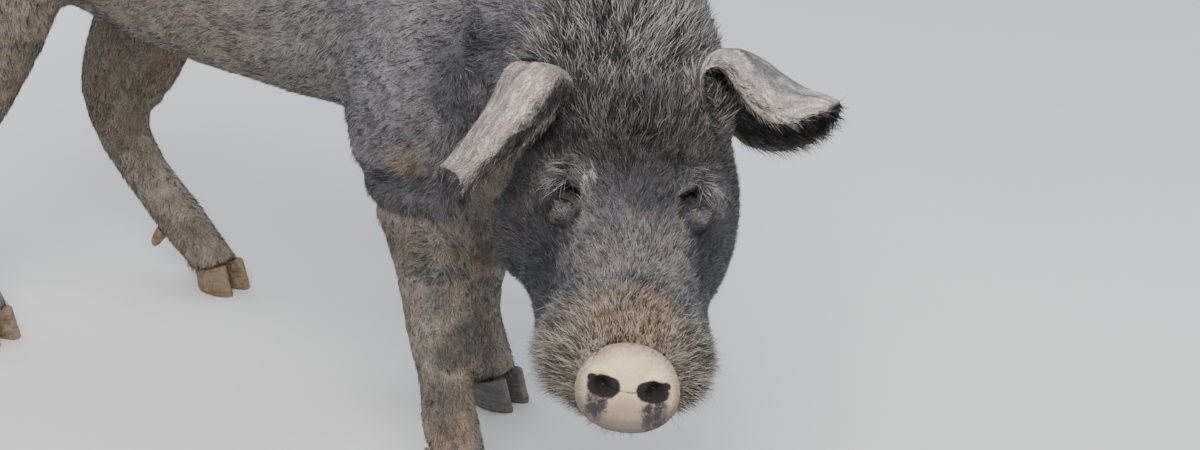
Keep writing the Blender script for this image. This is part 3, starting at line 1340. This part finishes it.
ROOT_DEPTH = 0.0006  # how far below the skin a hair begins
WHISKER_WIDTH = 0.00040
LASH_WIDTH = 0.00045


def drooping(roots, first, second, long, share=0.5):
    """The bend and the tip of hairs that set out one way and end another."""
    bends = roots + first * long[:, None] * share
    return bends, bends + second * long[:, None] * (1 - share)


def grow(field, row, weight, rng):
    """One piece of coat over its part of the skin."""
    name, _, density, length, width, lift, bent, paleness, tone = row
    count = field.pick(weight, density, rng, TRIANGLE_LIMIT // (10 if bent else 4))
    roots = field.at(field.skin.points)
    normals = unit(field.at(field.skin.normals))
    lie = along_surface(unit(field.at(field.lie)), normals)
    side = np.cross(normals, lie)
    swing = 0.50 * noise(roots, 0.030, 51) + 0.35 * noise(roots, 0.009, 52) + 0.22 * rng.normal(size=count)
    lie = unit(lie + side * swing[:, None])
    stand = field.at(field.lift) * lift * (0.75 + 0.5 * rng.random(count))
    heading = unit(lie + normals * stand[:, None])
    long = length * field.at(field.long) * (0.55 + 0.75 * rng.random(count))
    long = long * (1 + 0.25 * noise(roots, 0.05, 53))
    roots = roots - normals * ROOT_DEPTH
    thick = width * (0.75 + 0.5 * rng.random(count))
    tips = roots + heading * long[:, None]
    bends = None
    if bent:
        droop = unit(heading + 0.55 * lie + 0.35 * side * rng.normal(size=count)[:, None])
        bends, tips = drooping(roots, heading, unit(droop - np.array((0, 0, 0.25))), long)
    light = paleness + 0.20 * noise(roots, 0.028, 54) + 0.22 * noise(roots, 0.008, 55)
    light += 0.26 * noise(roots, 0.0032, 56) + 0.20 * rng.normal(size=count)
    tint = tone * field.at(field.marks.tint)
    light = smoothstep(0.34, 0.72, light) * (0.62 + 0.38 * smoothstep(0.025, 0.110, tint[:, 1]))
    looks = {"map": field.own_map(), "pale": light, "tint": tint}
    return tuft_mesh(name, roots, tips, bends, thick, rng, looks)


WHISKERS = (  # where, how many, shortest and longest, stand from the skin, push outwards, push down
    ("snout", 120, 0.020, 0.040, 1.0, 0.30, 0.30),
    ("chin", 60, 0.012, 0.034, 1.0, 0.10, 0.80),
    ("brow", 130, 0.014, 0.026, 0.55, 1.10, 0.35),
)


def whisker_areas(skin):
    local = skin.local
    sides = smoothstep(0.028, 0.045, np.abs(local[:, 0])) * smoothstep(0.100, 0.070, local[:, 1])
    chin = smoothstep(0.14, 0.10, local[:, 1]) * smoothstep(-0.035, -0.055, local[:, 2])
    brow = np.zeros(len(local))
    for side in SIDES.values():
        place = np.array(eye_place(side)) + (0.006 * side, 0.024, 0.026)
        brow = np.maximum(brow, blotch(local, place, (0.026, 0.022, 0.022), 65))
    return {"snout": sides * skin.on_head(), "chin": chin * skin.on_head(), "brow": brow}


def whiskers(field, head, rng):
    """Long stiff hairs round the snout, under the chin and over the eyes."""
    areas = whisker_areas(field.skin)
    parts = []
    for area, number, shortest, longest, stand, outwards, downwards in WHISKERS:
        count = field.pick(areas[area], 1e9, rng, number)
        roots = field.at(field.skin.points)
        normals = unit(field.at(field.skin.normals))
        side = np.sign(field.at(field.skin.local)[:, :1]) * turned(np.array((1.0, 0.0, 0.0)), head)
        pull = outwards * side + np.array((0, 0, -downwards))
        heading = unit(stand * normals + 0.30 * rng.normal(size=(count, 3)) + pull)
        long = shortest + (longest - shortest) * rng.random(count) ** 1.5
        droop = heading + 0.6 * pull + np.array((0, 0, -0.15)) + 0.15 * rng.normal(size=(count, 3))
        bends, tips = drooping(roots, heading, unit(droop), long)
        parts.append((roots - normals * 0.001, tips, bends, field.own_map(), field.at(field.marks.tint)))
    roots, tips, bends, own_map, tint = (np.concatenate(group) for group in zip(*parts))
    looks = {"map": own_map, "pale": 0.25 + 0.75 * rng.random(len(roots)), "tint": tint}
    return tuft_mesh("whiskers", roots, tips, bends, np.full(len(roots), WHISKER_WIDTH), rng, looks)


LASHES = 16


def lashes(field, head, rng):
    """Long pale lashes from under each brow, sweeping outwards and down over the eye."""
    parts = []
    for side in SIDES.values():
        along = np.linspace(-0.012, 0.012, LASHES) + 0.001 * rng.normal(size=LASHES)
        across = 0.0230 + 0.0040 * rng.random(LASHES) - 14 * along**2
        flat = to_world(np.stack((along, across, np.full(LASHES, 0.02)), 1), eye_frame(side, head))
        root = np.array([field.skin.tree.find_nearest(point)[0] for point in flat.tolist()])
        outwards = side * (0.75 + 0.40 * rng.normal(size=LASHES))
        long = 0.024 + 0.020 * rng.random(LASHES)
        first = np.stack((outwards, np.full(LASHES, -0.85), -0.10 + 0.25 * rng.normal(size=LASHES)), 1)
        second = np.stack((outwards, np.full(LASHES, -0.50), -1.0 + 0.35 * rng.normal(size=LASHES)), 1)
        ways = (turned(unit(first), head), turned(unit(second), head))
        parts.append((root, *drooping(root, *ways, long, 0.45)))
    roots, bends, tips = (np.concatenate(group) for group in zip(*parts))
    near = np.array([field.skin.tree.find_nearest(point)[2] for point in roots.tolist()])
    corner = field.skin.triangles[near][:, 0]
    pale = 0.6 + 0.4 * rng.random(len(roots))
    looks = {"map": field.map[corner], "pale": pale, "tint": field.marks.tint[corner]}
    return tuft_mesh("lashes", roots, tips, bends, np.full(len(roots), LASH_WIDTH), rng, looks)


# ---- eyes, disc and claws


def eye_mesh(side, head):
    """The ball with its raised clear front; `iris` is the distance from the middle of the pupil."""
    bm = bmesh.new()
    bmesh.ops.create_uvsphere(bm, u_segments=40, v_segments=28, radius=1.0)
    size = EYE_RADIUS * 0.985
    ring = []
    for vert in bm.verts:
        away = math.hypot(vert.co.x * 0.75, vert.co.y) if vert.co.z > 0 else 1.0
        ring.append(away)
        vert.co *= size * (1 + 0.035 * math.exp(-((away / 0.45) ** 4)))
    bm.transform(eye_frame(SIDES[side], head))
    mesh = mesh_from(bm, "eye_" + side)
    set_masks(mesh, {"iris": np.array(ring)})
    mesh.shade_smooth()
    return mesh


DISC_AROUND = 120
DISC_RINGS = 46
NOSTRIL_PLACE = (0.0215, 0.001)
NOSTRIL_SIZE = (0.0074, 0.0088)


def disc_edge_line(angle, scale):
    across = np.sign(np.cos(angle)) * np.abs(np.cos(angle)) ** 0.92
    height = np.sign(np.sin(angle)) * np.abs(np.sin(angle)) ** 0.96
    width = DISC_SIZE[0] / 2 * (1 - 0.07 * height)
    return across * width * scale, height * DISC_SIZE[1] / 2 * scale


NOSTRIL_DEPTH = 0.0095
DISC_BACK = ((1.0, 0.006), (0.995, 0.009), (0.965, 0.0118), (0.90, 0.0122))  # rings: size, depth


def disc_mesh(head):
    """The pad: a rolled edge, deep nostrils with raised borders, a line between them and a nick."""
    angle = np.linspace(0, math.tau, DISC_AROUND, endpoint=False)
    rows, edges = [], []
    shares = np.linspace(0.02, 1, DISC_RINGS)
    depths = 0.0042 * smoothstep(0.86, 1.0, shares) ** 1.5 - 0.0008 * (1 - shares)
    front_rings = [(share, depth, share) for share, depth in zip(shares, depths)]
    for share, depth, edge in front_rings + [(*ring, 1.15) for ring in DISC_BACK]:
        x, z = disc_edge_line(angle, share)
        rows.append(np.stack((x, np.full(DISC_AROUND, depth), z), 1))
        edges.append(np.full(DISC_AROUND, edge))
    points = np.concatenate(rows)
    edge = np.concatenate(edges)
    x, y, z = points.T.copy()
    front = edge <= 1.0
    stain = np.zeros(len(points))
    for side in (-1, 1):
        dx = (x - side * NOSTRIL_PLACE[0]) * side
        dz = z - NOSTRIL_PLACE[1]
        away = np.hypot((dx - 0.16 * dz) / NOSTRIL_SIZE[0], dz / NOSTRIL_SIZE[1])
        y += front * (NOSTRIL_DEPTH * smoothstep(1.12, 0.10, away) - 0.0010 * bell(away - 1.35, 0.28))
        wet = np.hypot((dx + 0.0014) / 0.0150, (dz + 0.0010) / 0.0104)
        corner = np.hypot((dx - 0.0088) / 0.0045, (dz - 0.0052) / 0.0034)
        large = 1.12 if side > 0 else 1.0
        smear = np.hypot((dx - 0.0025) / (0.0125 * large), (dz + 0.0160 * large) / (0.0185 * large))
        for share in (
            smoothstep(1.20, 0.70, wet),
            0.9 * smoothstep(1.3, 0.7, corner),
            0.72 * smoothstep(1.30, 0.35, smear),
        ):
            stain = np.maximum(stain, share)
    between = front * (np.abs(x) < NOSTRIL_PLACE[0]) * bell(z + 0.0030 - 9 * x**2, 0.0009)
    y += 0.0011 * between
    nick = bell(x + 0.030 - 0.45 * (z - 0.024), 0.0010) * smoothstep(0.010, 0.026, z)
    y += front * 0.0016 * nick
    y += front * (0.0006 * noise(points, 0.011, 71) + 0.00025 * noise(points, 0.004, 72))
    stain = np.maximum(np.maximum(stain, 0.62 * between), 0.85 * nick)
    edge = edge * (1 + 0.42 * smoothstep(-0.006, -0.036, z))
    points = to_world(np.stack((x, y, z), 1), disc_frame(head))
    index = np.arange(len(points)).reshape(-1, DISC_AROUND)
    quads = grid_quads(np.concatenate((index, index[:, :1]), axis=1))
    quads += [index[0][::-1].tolist(), index[-1].tolist()]
    mesh = bpy.data.meshes.new("disc")
    mesh.from_pydata(points.tolist(), [], quads)
    mesh.update()
    set_masks(mesh, {"stain": stain, "edge": edge, "low": smoothstep(0.010, -0.022, z)})
    mesh.shade_smooth()
    return mesh


CLAW_STEP = 0.0011  # the size of the rebuilt faces
DEWCLAW_STEP = 0.0007
CLAW_SMOOTHING = 5


def claw_mesh(frame, node, seed):
    """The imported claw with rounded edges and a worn, slightly uneven surface."""
    bm = bmesh.new()
    bm.from_mesh(frame["nodes"][node].data)
    bmesh.ops.remove_doubles(bm, verts=bm.verts, dist=1e-5)
    bmesh.ops.dissolve_limit(bm, angle_limit=math.radians(2), verts=bm.verts, edges=bm.edges)
    bmesh.ops.triangulate(bm, faces=bm.faces)
    step = CLAW_STEP if node.startswith("claw") else DEWCLAW_STEP
    mesh = remeshed(mesh_from(bm, node), step, CLAW_SMOOTHING)
    points = points_of(mesh)
    low = points[:, 2].min()
    rings = np.sin(points[:, 2] / 0.0042 + 1.2 * noise(points, 0.02, seed))
    worn = 0.00022 * rings + 0.0004 * noise(points, 0.006, seed + 1)
    standing = smoothstep(low + 0.0005, low + 0.003, points[:, 2])
    move_points(mesh, points + normals_of(mesh) * (worn * standing)[:, None])
    mesh.shade_smooth()
    return mesh


# ---- scene


def add_piece(name, mesh, material, slot, *nodes):
    """A piece of the visual model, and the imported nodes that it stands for."""
    mesh.materials.clear()
    mesh.materials.append(material)
    piece = add_object(name, mesh)
    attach(piece, BODY)
    if nodes:
        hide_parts(*nodes)


def add_light(name, place, target, size, power, colour):
    light = bpy.data.lights.new(name, "AREA")
    light.energy = power
    light.size = size
    light.color = colour
    lamp = add_object(name, light)
    lamp.location = place
    lamp.rotation_euler = (Vector(target) - Vector(place)).to_track_quat("-Z", "Y").to_euler()


def add_floor():
    bm = bmesh.new()
    bmesh.ops.create_grid(bm, x_segments=8, y_segments=8, size=14)
    mesh = mesh_from(bm, "floor")
    mesh.materials.append(floor_material())
    floor = add_object("floor", mesh)


def add_camera(head):
    camera = bpy.data.cameras.new("camera")
    camera.lens = CAMERA_LENS
    thing = add_object("camera", camera)
    thing.location = head.translation + CAMERA_REACH
    thing.rotation_euler = CAMERA_TURN
    bpy.context.scene.camera = thing


def add_surroundings(head):
    add_floor()
    add_camera(head)
    add_light("key", (-1.7, -1.5, 2.6), (0.0, -0.1, 0.35), 2.0, 150, (1.0, 0.97, 0.93))
    add_light("fill", (2.4, -2.4, 1.8), (0.0, -0.1, 0.35), 3.0, 48, (0.92, 0.96, 1.0))
    add_light("back", (0.6, 2.6, 2.2), (0.0, 0.2, 0.4), 2.6, 60, (1.0, 1.0, 1.0))
    world = bpy.data.worlds.new("studio")
    world.use_nodes = True
    background = world.node_tree.nodes["Background"]
    background.inputs["Color"].default_value = (0.80, 0.87, 1.0, 1.0)
    background.inputs["Strength"].default_value = 0.70
    bpy.context.scene.world = world


def build():
    for thing in list(bpy.data.objects):
        bpy.data.objects.remove(thing)
    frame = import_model()
    rng = np.random.default_rng(SEED)
    head = head_frame()
    skin = worked_skin(frame, head)
    marks = markings(skin)
    set_tint(skin.mesh, marks.tint)
    set_masks(skin.mesh, {"dust": marks.dust, "eared": skin.sheet[:, 2]})
    sheet = skin.mesh.attributes.new("sheet", "FLOAT_VECTOR", "POINT")
    sheet.data.foreach_set("vector", skin.sheet.astype(np.float32).ravel())
    add_piece("skin", skin.mesh, skin_material(), "hide", *FLESH, *EARS)

    field = Roots(skin, marks)
    areas = coat_areas(skin)
    bristles = hair_material("bristles", (0.390, 0.350, 0.305), 0.44, 0.50)
    silver = hair_material("silver", (0.570, 0.510, 0.430), 0.44, 0.45)
    white = hair_material("white", (0.620, 0.590, 0.530), 0.70, 0.40)
    for row in COATS:
        material = silver if row[1] in ("snout", "poll") else bristles
        add_piece(row[0], grow(field, row, areas[row[1]], rng), material, "hide")
    add_piece("whiskers", whiskers(field, head, rng), white, "hide")
    add_piece("lashes", lashes(field, head, rng), white, "hide")

    eye = eye_material()
    for side in SIDES:
        add_piece("eyeball_" + side, eye_mesh(side, head), eye, "eye", "eye_" + side)
    add_piece("pad", disc_mesh(head), disc_material(), "disc", "snout_disc")
    slate = claw_material("claw_slate", (0.075, 0.072, 0.070), (0.165, 0.158, 0.150), (0.200, 0.150, 0.100))
    ochre = claw_material("claw_ochre", (0.105, 0.072, 0.042), (0.235, 0.165, 0.100), (0.250, 0.185, 0.120))
    for seed, node in enumerate(n for n in sorted(frame["nodes"]) if "claw" in n):
        name = node.replace("claw", "hoof")
        material = ochre if "hind" in node else slate
        add_piece(name, claw_mesh(frame, node, 200 + 2 * seed), material, "claw", node)

    add_surroundings(head)


build()
